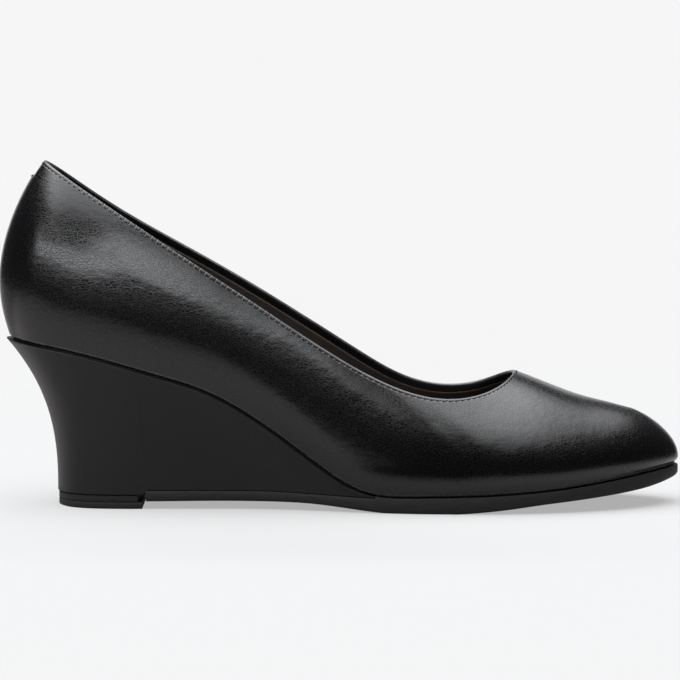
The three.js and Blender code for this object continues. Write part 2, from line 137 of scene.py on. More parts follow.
def outward(u):
    """Which way is out of the feather edge, seen from above."""
    dx = feather_x(u + ROW_HAIR) - feather_x(u - ROW_HAIR)
    dy = feather_y(u + ROW_HAIR) - feather_y(u - ROW_HAIR)
    size = np.hypot(dx, dy)
    return dy / size, -dx / size


def beside(u, out, up):
    """Points so far out of the feather edge and so far above the seat."""
    nx, ny = outward(u)
    x = feather_x(u) + nx * out
    return np.stack([x, feather_y(u) + ny * out, seat(x) + up], -1)


# Points closer than the weld are one. An edge that turns out by more than the first angle is
# rubbed in use and takes the edge colour, wholly so from the second. On the calf and the lining
# that colour is also a painted highlight, and on the wedge it is painted shade.
WELD = 2e-6
WEAR_AND_LIGHT_FROM, WEAR_AND_LIGHT_WHOLE = 0.15, 0.40


def leather_goods(name, grids, material, sharp=35):
    """One closed piece from grids of points in the shoe's own place, welded where they meet."""
    points, quads, count = [], [], 0
    for grid in grids:
        n = count + np.arange(grid[..., 0].size).reshape(grid.shape[:2])
        points.append(grid.reshape(-1, 3))
        quads.append(np.stack([n[:-1, :-1], n[:-1, 1:], n[1:, 1:], n[1:, :-1]], -1).reshape(-1, 4))
        count += n.size
    mesh = bpy.data.meshes.new(name)
    mesh.from_pydata(np.concatenate(points) - SHOE_MIDDLE, [], np.concatenate(quads).tolist())
    work = bmesh.new()
    work.from_mesh(mesh)
    bmesh.ops.remove_doubles(work, verts=work.verts, dist=WELD)
    bmesh.ops.dissolve_degenerate(work, edges=work.edges, dist=WELD / 2)
    bmesh.ops.recalc_face_normals(work, faces=work.faces)
    wear_and_painted_light = work.verts.layers.float.new("wear_and_painted_light")
    for edge in work.edges:
        turn = edge.calc_face_angle_signed(0)
        for corner in edge.verts if turn > WEAR_AND_LIGHT_FROM else ():
            corner[wear_and_painted_light] = max(corner[wear_and_painted_light], min(1, (turn - WEAR_AND_LIGHT_FROM) / (WEAR_AND_LIGHT_WHOLE - WEAR_AND_LIGHT_FROM)))
    work.to_mesh(mesh)
    work.free()
    mesh.polygons.foreach_set("use_smooth", [True] * len(mesh.polygons))
    mesh.set_sharp_from_angle(angle=math.radians(sharp))
    mesh.materials.append(material)
    piece = placed(name, mesh)
    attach(piece, "root")
    return piece


def slab_grids(places, edge, crown=None, tread=None, across=13):
    """Grids of a flat piece between its two sides; edge gives the profile from top to bottom."""
    outer = edge(places)
    inner = edge(2 * TOE_ROW - places)
    share = np.linspace(0, 1, across)[None, :, None]
    top = outer[:, :1] * (1 - share) + inner[:, :1] * share
    under = outer[:, -1:] * (1 - share) + inner[:, -1:] * share
    if crown:
        top = crown(top, share)
    if tread:
        under = tread(under, share)
    ends = []
    for k in (0, -1):
        row = outer[k][None, :, :] * (1 - share[0][:, None]) + inner[k][None, :, :] * share[0][:, None]
        row[:, 0] = top[k]
        ends.append(row)
    return [outer, inner, top, under] + ends


def node(tree, kind, links=None, **values):
    """One node with its settings; links gives each input a number or another node's output."""
    made = tree.nodes.new(kind)
    for key, value in values.items():
        setattr(made, key, value)
    for key, value in (links or {}).items():
        if isinstance(value, bpy.types.NodeSocket):
            tree.links.new(value, made.inputs[key])
        else:
            made.inputs[key].default_value = value
    return made


def maths(tree, operation, *values):
    """The result of one sum on outputs and numbers."""
    return node(tree, "ShaderNodeMath", dict(enumerate(values)), operation=operation).outputs[0]


def ramp(tree, value, low, high, start=0.0, stop=1.0, blend="SMOOTHSTEP"):
    """A value carried from one range into another, held at its ends."""
    return node(tree, "ShaderNodeMapRange", {0: value, 1: low, 2: high, 3: start, 4: stop},
                interpolation_type=blend).outputs[0]


def mixed(tree, share, first, second):
    """One colour turned into another by a share."""
    return node(tree, "ShaderNodeMix", {0: share, 6: first, 7: second}, data_type="RGBA").outputs[2]


def group_of(kind, name, inputs, outputs):
    """A node group with named inputs and outputs: each a usual number or a kind of socket."""
    tree = bpy.data.node_groups.new(name, kind)
    for way, sockets in (("INPUT", inputs), ("OUTPUT", outputs)):
        for key, value in sockets.items():
            named = isinstance(value, str)
            socket = tree.interface.new_socket(
                key, in_out=way, socket_type=value if named else "NodeSocketFloat")
            if not named:
                socket.default_value = value
    return tree, tree.nodes.new("NodeGroupInput").outputs, tree.nodes.new("NodeGroupOutput").inputs


def leather_grain_group():
    """Grain of finished leather: flat pebbles between fine furrows, and slow changes of tone."""
    tree, given, out = group_of("ShaderNodeTree", "leather_grain", {"Cell": 0.0008, "Stretch": 1.5},
                                {"Height": 0.0, "Furrow": 0.0, "Tone": 0.0})
    place = node(tree, "ShaderNodeTexCoord").outputs["Object"]
    rate = maths(tree, "DIVIDE", 1.0, given["Cell"])
    upright = maths(tree, "MULTIPLY", rate, given["Stretch"])
    scales = node(tree, "ShaderNodeCombineXYZ", {0: rate, 1: rate, 2: upright}).outputs[0]
    cells = node(tree, "ShaderNodeVectorMath", {0: place, 1: scales}, operation="MULTIPLY").outputs[0]
    sway = node(tree, "ShaderNodeTexNoise", {"Vector": cells, "Scale": 0.55, "Detail": 2.0})
    drift = node(tree, "ShaderNodeVectorMath", {0: sway.outputs["Color"], 1: (1.4, 1.4, 1.4)},
                 operation="MULTIPLY")
    warped = node(tree, "ShaderNodeVectorMath", {0: cells, 1: drift.outputs[0]}, operation="ADD")
    pebble = node(tree, "ShaderNodeTexVoronoi",
                  {"Vector": warped.outputs[0], "Scale": 1.0, "Randomness": 0.9},
                  feature="DISTANCE_TO_EDGE")
    flat = ramp(tree, pebble.outputs["Distance"], 0.0, 0.12)
    fine = node(tree, "ShaderNodeTexNoise", {"Vector": cells, "Scale": 1.6, "Detail": 1.0})
    broad = node(tree, "ShaderNodeTexNoise", {"Vector": cells, "Scale": 0.3, "Detail": 2.0})
    tone = node(tree, "ShaderNodeTexNoise", {"Vector": place, "Scale": 38.0, "Detail": 3.0})
    both = maths(tree, "MULTIPLY_ADD", fine.outputs[0], 0.8, flat)
    tree.links.new(maths(tree, "MULTIPLY_ADD", broad.outputs[0], 8.0, both), out["Height"])
    tree.links.new(maths(tree, "SUBTRACT", 1.0, flat), out["Furrow"])
    tree.links.new(tone.outputs[0], out["Tone"])
    return tree


def edge_wear_and_painted_light_group():
    """A piece's outer edges, broken up along their length: where it is rubbed, and where painted highlight
    and painted shade are laid on the edge.
    """
    tree, given, out = group_of("ShaderNodeTree", "edge_wear_and_painted_light", {"Patch": 0.004}, {"WearAndPaintedLight": 0.0})
    edge = node(tree, "ShaderNodeAttribute", attribute_name="wear_and_painted_light")
    place = node(tree, "ShaderNodeTexCoord").outputs["Object"]
    rate = maths(tree, "DIVIDE", 1.0, given["Patch"])
    patches = node(tree, "ShaderNodeTexNoise", {"Vector": place, "Scale": rate, "Detail": 3.0})
    worn_and_painted_edge = ramp(tree, patches.outputs[0], 0.3, 0.7, 0.45, 1.0, "LINEAR")
    tree.links.new(maths(tree, "MULTIPLY", edge.outputs["Fac"], worn_and_painted_edge), out["WearAndPaintedLight"])
    return tree


leather_grain = leather_grain_group()
edge_wear_and_painted_light = edge_wear_and_painted_light_group()
RUB_DULL = 0.08


def plain_finish(name):
    """A new material, its nodes, and the inputs of its shader."""
    material = bpy.data.materials.new(name)
    material.use_nodes = True
    return material, material.node_tree, material.node_tree.nodes["Principled BSDF"].inputs


def dressed(name, dark, light, worn_and_painted_edge, rough, depth, cell, stretch=1.0, spread=0.06, shine=0.5):
    """A finish: two near colours, an edge colour for wear and for painted highlight and shade, gloss broken
    by the grain, and the grain.
    """
    material, tree, shader = plain_finish(name)
    shader["Specular IOR Level"].default_value = shine
    grain = node(tree, "ShaderNodeGroup", {"Cell": cell, "Stretch": stretch}, node_tree=leather_grain)
    wear_and_painted_light = node(tree, "ShaderNodeGroup", node_tree=edge_wear_and_painted_light).outputs["WearAndPaintedLight"]
    shade = mixed(tree, grain.outputs["Tone"], (*dark, 1), (*light, 1))
    tree.links.new(mixed(tree, wear_and_painted_light, shade, (*worn_and_painted_edge, 1)), shader["Base Color"])
    gloss = ramp(tree, grain.outputs["Furrow"], 0.0, 1.0, rough, rough + spread, "LINEAR")
    tree.links.new(maths(tree, "MULTIPLY_ADD", wear_and_painted_light, RUB_DULL, gloss), shader["Roughness"])
    bump = node(tree, "ShaderNodeBump",
                {"Height": grain.outputs["Height"], "Strength": 1.0, "Distance": depth})
    tree.links.new(bump.outputs[0], shader["Normal"])
    return material


def grown(value, start, over):
    """From 0 at a start to 1 so far on."""
    return np.clip((value - start) / over, 0, 1)


def insole_edge(u):
    """Rows down the edge of the sock and the board."""
    profile = [(-INSOLE_INSET - 0.0005, 0.0), (-INSOLE_INSET - 0.0001, -0.0002), (-INSOLE_INSET, -0.0006),
               (-INSOLE_INSET - 0.0004, -0.0016), (-0.0036, -INSOLE_THICK)]
    return np.stack([beside(u, out, INSOLE_THICK + down) for out, down in profile], 1)


def insole_crown(top, share):
    """The top of the sock, a little hollow across."""
    hollow = SEAT_HOLLOW * np.sin(np.pi * share[..., 0]) ** 0.8
    top = top.copy()
    top[..., 2] -= hollow * grown(top[..., 0], HOLLOW_FROM, HOLLOW_OVER)
    return top


sock_brown = dressed("sock_brown_leather", (0.010, 0.0065, 0.004), (0.016, 0.0105, 0.006),
                     (0.03, 0.02, 0.012), 0.6, 0.00002, 0.0007, stretch=1.5)
insole = leather_goods("insole_sock", slab_grids(np.linspace(0, TOE_ROW, 140), insole_edge, insole_crown),
                       sock_brown)
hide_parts("insole")

# The upper: one piece of fine black calf over the last, swelling out above the feather edge and
# drawn in to the topline. Its top edge is folded in, and its lower edge is lasted under the foot.
COLLAR_STAND = HEEL_RISE + 0.0645
BELLY = 0.0034
BELLY_RISE = 0.020
CORNER = 0.0010
TURN_IN = 0.0032
LEATHER_THICK = 0.0010
FOLD_THICK = 0.0014
TAB_WIDTH = 0.010
TAB_HEIGHT = 0.0068
TAB_DEPTH = 0.0005
THROAT_SHARE = 0.7575
REACH_SHARE = 0.7
ROLL_DEPTH = 0.0014
ROLL_REACH = 0.0170
SEAM_DROP = 0.00135
STITCH_PITCH = 0.0023

# The outward swell on the outer and the inner side, and the height of the widest line.
SWELL = np.array([
    [0.97, 0.97, 1.00], [0.96, 0.96, 0.99], [0.92, 0.92, 0.97], [0.87, 0.88, 0.95], [0.86, 0.95, 0.93],
    [0.91, 1.20, 0.90], [1.00, 1.60, 0.87], [1.05, 1.85, 0.81], [1.00, 1.70, 0.66], [0.87, 1.27, 0.52],
    [0.76, 0.95, 0.42], [0.65, 0.76, 0.36], [0.53, 0.59, 0.30], [0.41, 0.47, 0.23], [0.33, 0.35, 0.17],
    [0.32, 0.32, 0.13],
])
# The ridge that the last's sections meet on: place, shift to the inner side, height, slope along
# the shoe, and fullness of the section.
RIDGE = np.array([
    [0.155, 0.000, 1.115, 0.00, 0.42], [0.159, 0.000, 1.115, 0.00, 0.42],
    [0.171, 0.000, 1.117, 0.00, 0.42], [0.192, 0.000, 1.117, -0.08, 0.42],
    [0.225, 0.000, 1.110, -0.25, 0.43], [0.274, 0.001, 1.076, -0.50, 0.45],
    [0.339, 0.004, 0.988, -0.80, 0.47], [0.416, 0.010, 0.847, -0.92, 0.49],
    [0.506, 0.018, 0.681, -0.90, 0.50], [0.600, 0.028, 0.520, -0.78, 0.50],
    [0.690, 0.041, 0.407, -0.50, 0.50], [0.771, 0.052, 0.342, -0.41, 0.50],
    [0.841, 0.060, 0.286, -0.33, 0.48], [0.890, 0.066, 0.258, -0.27, 0.46],
    [0.922, 0.068, 0.241, -0.30, 0.43], [0.933, 0.068, 0.235, -0.36, 0.42],
])
# The topline's height from the throat back, on the outer and the inner side.
TOPLINE = np.array([
    [0.350, 0.350], [0.344, 0.346], [0.327, 0.332], [0.307, 0.311], [0.294, 0.297], [0.297, 0.301],
    [0.327, 0.338], [0.389, 0.416], [0.480, 0.512], [0.591, 0.617], [0.714, 0.724], [0.853, 0.844],
    [1.000, 1.000],
])

swell_out = round_last(SWELL[:, 0] * BELLY, SWELL[:, 1] * BELLY)
swell_up = round_last(SWELL[:, 2] * BELLY_RISE)
ridge_x = round_last(RIDGE[:, 0] * LAST_LENGTH)
ridge_y = round_last(RIDGE[:, 1] * BALL_WIDTH)
ridge_z = round_last(RIDGE[:, 2] * COLLAR_STAND)
ridge_slope = round_last(RIDGE[:, 3])
fullness = round_last(RIDGE[:, 4])


def bend_of(a, b, c, d, t):
    """A curve from a to d that leaves towards b and comes in from c."""
    t = t[..., None]
    s = 1 - t
    return s ** 3 * a + 3 * s * s * t * b + 3 * s * t * t * c + t ** 3 * d


def last_point(u, t):
    """The last's surface: t from 0 at the feather edge to 1 at the widest line and 2 at the ridge."""
    u, t = np.broadcast_arrays(np.asarray(u, float), np.asarray(t, float))
    nx, ny = outward(u)
    foot = beside(u, 0, CORNER)
    way = np.stack([nx, ny, np.zeros_like(nx)], -1)
    out = swell_out(u)[..., None]
    wide = foot + way * out
    wide[..., 2] += swell_up(u) - CORNER
    rise = (wide - foot)[..., 2:]
    high = np.array([0.0, 0.0, 1.0])
    lower = bend_of(foot, foot + way * out * 0.55 + high * rise * 0.3, wide - high * rise * 0.4, wide, t)
    top = np.stack([ridge_x(u), ridge_y(u), FORE_LEVEL + ridge_z(u)], -1)
    full = fullness(u)[..., None]
    back = (wide - top) * (full + 0.02)
    back[..., 2] = back[..., 0] * ridge_slope(u)
    upper = bend_of(wide, wide + high * (top - wide)[..., 2:] * full, top + back, top, t - 1)
    return np.where((t < 1)[..., None], lower, upper)


RISE_HAIR = 0.001


def last_normal(u, t):
    """Straight out of the last."""
    u, t = np.broadcast_arrays(np.asarray(u, float), np.asarray(t, float))
    along = last_point(u + ROW_HAIR, t) - last_point(u - ROW_HAIR, t)
    up = last_point(u, t + RISE_HAIR) - last_point(u, t - RISE_HAIR)
    n = np.cross(along, up)
    slope = ridge_slope(u)
    crown = np.stack([-slope, np.zeros_like(slope), np.ones_like(slope)], -1)
    n = np.where((t > 2 - RISE_HAIR / 2)[..., None], crown, n)
    return n / np.linalg.norm(n, axis=-1, keepdims=True)


def crossing(low, high, rising, shape=()):
    """Where a rising function crosses nought, by halving."""
    a = np.full(shape, float(low))
    b = np.full(shape, float(high)) if np.isscalar(high) else np.array(high, float)
    for _ in range(28):
        middle = (a + b) / 2
        over = rising(middle) > 0
        b = np.where(over, middle, b)
        a = np.where(over, a, middle)
    return (a + b) / 2


throat_x = THROAT_SHARE * LAST_LENGTH
throat_row = float(crossing(8, 13, lambda w: ridge_x(w) - throat_x))
topline_rows = TOPLINE * COLLAR_STAND
topline_rows[0] = ridge_z(throat_row)
topline_outer = fair_curve(topline_rows[:, 0])
topline_inner = fair_curve(topline_rows[:, 1])


def topline(x, inner):
    """The height of the topline over a place along the shoe."""
    share = np.sqrt(np.maximum(0, throat_x - x) / (REACH_SHARE * LAST_LENGTH)) * (len(TOPLINE) - 1)
    return FORE_LEVEL + (topline_inner(share) if inner else topline_outer(share))


def crowded(count):
    """Shares from 0 to 1 that crowd together towards 1."""
    return 1 - (1 - np.linspace(0, 1, count)) ** 1.8


def side(w, inner):
    """The place round the last of a row on the outer or the inner side."""
    return 2 * TOE_ROW - w if inner else w


def topline_cut(w, inner):
    """Where the topline cuts the sections at these places."""
    def over(t):
        p = last_point(side(w, inner), t)
        return p[..., 2] - topline(p[..., 0], inner)
    return crossing(1, 2, over, w.shape)


# The topline as a closed run of points on each side, from the back of the heel to the throat.
fan = throat_row * crowded(260)
edge_line = {}
for inner in (False, True):
    cut_at = topline_cut(fan, inner)
    cut_at[-1] = 2
    edge_line[inner] = last_point(side(fan, inner), cut_at)
whole_edge = np.concatenate([edge_line[False], edge_line[True][::-1][1:-1]])


def nearest_on(line, points, batch=2000):
    """Distances of points from a closed line, its nearest steps, and the shares of those steps."""
    steps = np.roll(line, -1, 0) - line
    size = (steps ** 2).sum(-1)
    gap, nearest, share = np.empty(len(points)), np.empty(len(points), int), np.empty(len(points))
    for k in range(0, len(points), batch):
        part = slice(k, k + batch)
        away = points[part, None] - line
        at = np.clip((away * steps).sum(-1) / size, 0, 1)
        square = ((away - at[..., None] * steps) ** 2).sum(-1)
        best = square.argmin(1)
        pick = np.arange(len(best)), best
        gap[part], nearest[part], share[part] = np.sqrt(square[pick]), best, at[pick]
    return gap, nearest, share


def from_edge(points):
    """Distance of points from the topline."""
    return nearest_on(whole_edge, points.reshape(-1, 3))[0].reshape(points.shape[:-1])


RING_PLACES = 190
TAB_PLACES = 26
TAB_RUN = 0.0075
edge_lines = {}


def below_edge(distance, inner):
    """Rows and heights of the line that runs so far below the topline, in even steps."""
    key = (round(distance, 7), inner)
    if key in edge_lines:
        return edge_lines[key]
    throat = last_point(throat_row, 2.0)
    end = float(crossing(throat_row, throat_row + 2.5, lambda w: np.linalg.norm(
        last_point(w, np.full_like(w, 2.0)) - throat, axis=-1) - distance))
    w = end * crowded(220)
    open_part = w < throat_row - 1e-9
    high = np.full(w.shape, 2.0)
    high[open_part] = topline_cut(w[open_part], inner)
    if distance > 0:
        t = crossing(1, high, lambda t: distance - from_edge(last_point(side(w, inner), t)), w.shape)
    else:
        t = high
    t[-1] = 2.0
    steps = np.linalg.norm(np.diff(last_point(side(w, inner), t), axis=0), axis=-1)
    run = np.concatenate([[0], np.cumsum(steps)])
    near_tab = np.linspace(0, TAB_RUN, TAB_PLACES)
    even = np.concatenate([near_tab[:-1], np.linspace(TAB_RUN, run[-1], RING_PLACES - TAB_PLACES + 1)])
    edge_lines[key] = np.interp(even, run, w), np.interp(even, run, t)
    return edge_lines[key]


# The roll of the top edge grows from the back of the heel and eases off over the front of the
# quarters: where each starts, over how far, and how much it eases.
ROLL_FROM, ROLL_OVER = 0.002, 0.030
EASE_FROM, EASE_OVER, EASE_BY = 0.085, 0.035, 0.7
TAB_SOFT = 0.0003
HEEL_BACK = 0.05


def drawn_in(points, normals, distance, tab):
    """How far the leather is drawn inwards by its taped top edge, and let in at the heel's tab."""
    back = grown(points[..., 0], ROLL_FROM, ROLL_OVER)
    sideways = normals[..., 1] ** 2 * back * (1 - EASE_BY * grown(points[..., 0], EASE_FROM, EASE_OVER))
    roll = ROLL_DEPTH * np.clip(1 - distance / ROLL_REACH, 0, 1) ** 2 * sideways
    if not tab:
        return roll
    across = np.clip((TAB_WIDTH / 2 - np.abs(points[..., 1])) / TAB_SOFT + 0.5, 0, 1)
    down = np.clip((TAB_HEIGHT - distance) / TAB_SOFT + 0.5, 0, 1)
    return roll + TAB_DEPTH * across * down * (points[..., 0] < HEEL_BACK)


# Soft creases, as seen from the outer side: ends (place, height), half width and depth of
# a trough (or of a ridge, below nought), then which side of the shoe it is on.
CREASES = [
    ((0.158, 0.0330), (0.167, 0.0245), 0.0024, 0.00009, False),
    ((0.164, 0.0340), (0.174, 0.0240), 0.0026, -0.00008, False),
    ((0.171, 0.0350), (0.181, 0.0235), 0.0026, 0.00008, False),
    ((0.022, 0.1020), (0.040, 0.0930), 0.0042, 0.00018, False),
    ((0.104, 0.0640), (0.128, 0.0430), 0.0045, -0.00010, False),
    ((0.168, 0.0380), (0.178, 0.0280), 0.0030, 0.00005, True),
    ((0.176, 0.0400), (0.187, 0.0290), 0.0030, -0.00005, True),
]


def creased(points, inner):
    """Depth of the soft creases at these points."""
    deep = np.zeros(points.shape[:-1])
    flat = points[..., [0, 2]]
    for start, stop, half, depth, side_of in CREASES:
        if side_of != inner:
            continue
        a, b = np.array(start), np.array(stop)
        along = ((flat - a) @ (b - a)) / ((b - a) @ (b - a))
        gap = np.linalg.norm(flat - a - np.clip(along, 0, 1)[..., None] * (b - a), axis=-1)
        deep += depth * np.exp(-(gap / half) ** 2)
    return deep


def leather_face(u, t, distance, depth, inner):
    """Points at a depth in the wall, with roll, tab and creases, and the way out of the last."""
    points, normals = last_point(u, t), last_normal(u, t)
    if distance is None:
        distance = from_edge(points)
    drawn = depth + drawn_in(points, normals, distance, depth < FOLD_THICK / 2) + creased(points, inner)
    return points - normals * drawn[..., None], normals


VAMP_PLACES = 75
FACE_ROWS = 64
TOP_ROWS = 20
TOP_BAND = 0.0078


def last_face(distance, depth, inner):
    """The last's surface at a depth, from so far below the topline down to the feather edge."""
    w, t = below_edge(distance, inner)
    rest = np.linspace(w[-1], TOE_ROW, VAMP_PLACES + 1)[1:]
    u = side(np.concatenate([w, rest]), inner)
    t = np.concatenate([t, np.full(len(rest), 2.0)])
    ladder = t[:, None] * (1 - np.linspace(0, 1, 70)[None])
    steps = np.linalg.norm(np.diff(last_point(u[:, None], ladder), axis=1), axis=-1)
    run = np.concatenate([np.zeros((len(u), 1)), np.cumsum(steps, 1)], 1)
    heights = []
    for k in range(len(u)):
        top = np.linspace(0, min(TOP_BAND, run[k, -1] * 0.3), TOP_ROWS)
        below = np.linspace(top[-1], run[k, -1], FACE_ROWS - TOP_ROWS + 1)[1:]
        heights.append(np.interp(np.concatenate([top, below]), run[k], ladder[k]))
    return u, leather_face(u[:, None], np.array(heights), None, depth, inner)[0]


def edge_rows(pairs, inner):
    """Rows that run along the topline: each at a distance below it and a depth in the wall."""
    rows = []
    for distance, depth in pairs:
        w, t = below_edge(distance, inner)
        rows.append(leather_face(side(w, inner), t, distance, depth, inner)[0])
    return np.stack(rows, 1)


def half_round(distance, depth_a, depth_b, steps):
    """A rounded edge between two depths: (distance, depth) pairs from one face to the other."""
    r = (depth_b - depth_a) / 2
    turn = np.linspace(0, np.pi, steps)
    return [(distance + r - r * math.sin(a), (depth_a + depth_b) / 2 - r * math.cos(a)) for a in turn]


def shell_grids(front, back, pairs, foot_front, foot_back):
    """Grids of a closed wall: two faces, the edge between them on top, the margin under the foot."""
    grids = []
    for inner in (False, True):
        u, face = last_face(*front, inner)
        v, rear = last_face(*back, inner)
        grids += [face, rear, edge_rows(pairs, inner)]
        under = [face[:, -1]] + [beside(u, out, up) for out, up in foot_front]
        under += [beside(v, out, up) for out, up in foot_back] + [rear[:, -1]]
        grids.append(np.stack(under, 1))
    return grids


fold_edge = half_round(0, 0, FOLD_THICK, 9)
leather_pairs = fold_edge + [(0.0025, FOLD_THICK), (0.0055, FOLD_THICK),
                             (0.0058, LEATHER_THICK + 0.0001), (0.0060, LEATHER_THICK)]
turn = np.linspace(0, np.pi / 2, 5)[1:]
feather_round = [(-CORNER + CORNER * math.cos(a), CORNER - CORNER * math.sin(a)) for a in turn]
# Its lighter edge colour is wear and a painted highlight along the folded topline edge.
calf_black = dressed("calf_black", (0.0008, 0.0008, 0.0011), (0.0014, 0.0014, 0.0017),
                     (0.06, 0.06, 0.062), 0.15, 0.0000095, 0.0013, stretch=1.7, spread=0.17)
upper = leather_goods(
    "upper_leather",
    shell_grids((fold_edge[0][0], 0), leather_pairs[-1], leather_pairs,
                feather_round + [(-TURN_IN, 0.0)], [(-TURN_IN, 0.0005), (-LEATHER_THICK, 0.0009)]),
    calf_black, sharp=60,
)


def seam_line():
    """The line that the topline stitches follow, right round, and the way out of the leather."""
    runs = []
    for inner in (False, True):
        w, t = below_edge(SEAM_DROP, inner)
        runs.append(leather_face(side(w, inner), t, SEAM_DROP, 0, inner))
    return [np.concatenate([runs[0][k], runs[1][k][::-1][1:-1]]) for k in (0, 1)]


seam, seam_out = seam_line()
seam_steps = np.linalg.norm(np.roll(seam, -1, 0) - seam, axis=-1)
seam_run = np.concatenate([[0], np.cumsum(seam_steps)])
SEAM_LENGTH = float(seam_run[-1])
STITCH_COUNT = round(SEAM_LENGTH / STITCH_PITCH)
CHART_REACH = 0.009
NOT_HERE = -0.003
FACES_OUT = 0.25
MM = 1000


def map_seam(piece):
    """A UV map on the leather: stitches run along the seam, and millimetres below the topline."""
    mesh = piece.data
    spots = np.empty(len(mesh.vertices) * 3)
    mesh.vertices.foreach_get("co", spots)
    spots = spots.reshape(-1, 3) + SHOE_MIDDLE
    ways = np.empty(len(mesh.vertices) * 3)
    mesh.vertex_normals.foreach_get("vector", ways)
    ways = ways.reshape(-1, 3)
    below = from_edge(spots)
    along = np.zeros(len(spots))
    near = np.where(below < CHART_REACH)[0]
    _, nearest, share = nearest_on(seam, spots[near])
    along[near] = seam_run[nearest] + share * seam_steps[nearest]
    faces_out = (ways[near] * seam_out[nearest]).sum(-1) >= FACES_OUT
    below[near[~faces_out]] = NOT_HERE
    owner = np.empty(len(mesh.loops), int)
    mesh.loops.foreach_get("vertex_index", owner)
    values = np.stack([along[owner] / SEAM_LENGTH * STITCH_COUNT, below[owner] * MM], -1)
    for face in mesh.polygons:
        loops = slice(face.loop_start, face.loop_start + face.loop_total)
        if np.ptp(values[loops, 0]) > STITCH_COUNT / 2:
            values[loops, 0] += np.where(values[loops, 0] < STITCH_COUNT / 2, STITCH_COUNT, 0)
    layer = mesh.uv_layers.new(name="topline_seam")
    layer.data.foreach_set("uv", values.astype(np.float32).ravel())


map_seam(upper)


def seam_dents(material, drop, depth):
    """Lets the stitch row bite into the leather: a shallow groove with a needle hole per stitch."""
    tree = material.node_tree
    normal = tree.nodes["Principled BSDF"].inputs["Normal"]
    grain_bump = normal.links[0].from_node
    chart = node(tree, "ShaderNodeUVMap", uv_map="topline_seam")
    axes = node(tree, "ShaderNodeSeparateXYZ", {0: chart.outputs[0]}).outputs
    gap = maths(tree, "ABSOLUTE", maths(tree, "SUBTRACT", axes[1], drop))
    groove = ramp(tree, gap, 0.1, 0.5, 1.0, 0.0)
    middle = maths(tree, "SUBTRACT", maths(tree, "FRACT", axes[0]), 0.5)
    hole = ramp(tree, maths(tree, "ABSOLUTE", middle), 0.0, 0.2, 1.0, 0.35)
    level = maths(tree, "SUBTRACT", 1.0, maths(tree, "MULTIPLY", groove, hole))
    dent = node(tree, "ShaderNodeBump", {"Height": level, "Strength": 1.0, "Distance": depth,
                                         "Normal": grain_bump.outputs[0]})
    tree.links.new(dent.outputs[0], normal)


seam_dents(calf_black, SEAM_DROP * MM, 0.00012)
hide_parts("upper")

# The topline stitches: one row of black waxed thread round the opening, that holds the folded
# edge down and the lining in. Each stitch sinks a little into the leather at both its ends.
STITCH_LENGTH = 0.0014
THREAD = 0.00056
thread_black, tree, shader = plain_finish("thread_black")
shader["Roughness"].default_value = 0.7
shader["Specular IOR Level"].default_value = 0.12
twist = node(tree, "ShaderNodeTexCoord").outputs["Object"]
ply = node(tree, "ShaderNodeTexNoise", {"Vector": twist, "Scale": 2600.0, "Detail": 2.0}).outputs[0]
strand = mixed(tree, ply, (0.0006, 0.0006, 0.0007, 1), (0.0025, 0.0025, 0.0028, 1))
tree.links.new(strand, shader["Base Color"])
ply_bump = node(tree, "ShaderNodeBump", {"Height": ply, "Strength": 0.6, "Distance": 0.00003})
tree.links.new(ply_bump.outputs[0], shader["Normal"])


def stitch_tree():
    """Stitches in even steps along a path, each lying along it and standing out of the leather."""
    tree, given, out = group_of(
        "GeometryNodeTree", "sewn_row",
        {"Geometry": "NodeSocketGeometry", "Stitches": "NodeSocketInt", "Length": 0.0016,
         "Thread": 0.0003, "Sink": 0.0, "Finish": "NodeSocketMaterial"},
        {"Geometry": "NodeSocketGeometry"})
    path = node(tree, "GeometryNodeMeshToCurve", {"Mesh": given["Geometry"]})
    steps = node(tree, "GeometryNodeCurveToPoints",
                 {"Curve": path.outputs[0], "Count": given["Stitches"]}, mode="COUNT")
    out_way = node(tree, "GeometryNodeInputNamedAttribute", {"Name": "out_way"},
                   data_type="FLOAT_VECTOR")
    lying = node(tree, "FunctionNodeAlignRotationToVector", {"Vector": steps.outputs["Tangent"]},
                 axis="X")
    standing = node(tree, "FunctionNodeAlignRotationToVector",
                    {"Rotation": lying.outputs[0], "Vector": out_way.outputs["Attribute"]},
                    axis="Z", pivot_axis="X")
    bead = node(tree, "GeometryNodeMeshUVSphere", {"Segments": 8, "Rings": 7, "Radius": 0.5})
    size = node(tree, "ShaderNodeCombineXYZ",
                {0: given["Length"], 1: given["Thread"], 2: given["Thread"]})
    down = node(tree, "ShaderNodeCombineXYZ", {2: given["Sink"]})
    stitch = node(tree, "GeometryNodeTransform",
                  {"Geometry": bead.outputs["Mesh"], "Scale": size.outputs[0],
                   "Translation": down.outputs[0]})
    row = node(tree, "GeometryNodeInstanceOnPoints",
               {"Points": steps.outputs["Points"], "Instance": stitch.outputs[0],
                "Rotation": standing.outputs[0]})
    real = node(tree, "GeometryNodeRealizeInstances", {"Geometry": row.outputs[0]})
    soft = node(tree, "GeometryNodeSetShadeSmooth", {"Geometry": real.outputs[0]})
    sewn = node(tree, "GeometryNodeSetMaterial",
                {"Geometry": soft.outputs[0], "Material": given["Finish"]})
    tree.links.new(sewn.outputs[0], out[0])
    return tree


sewn_row = stitch_tree()


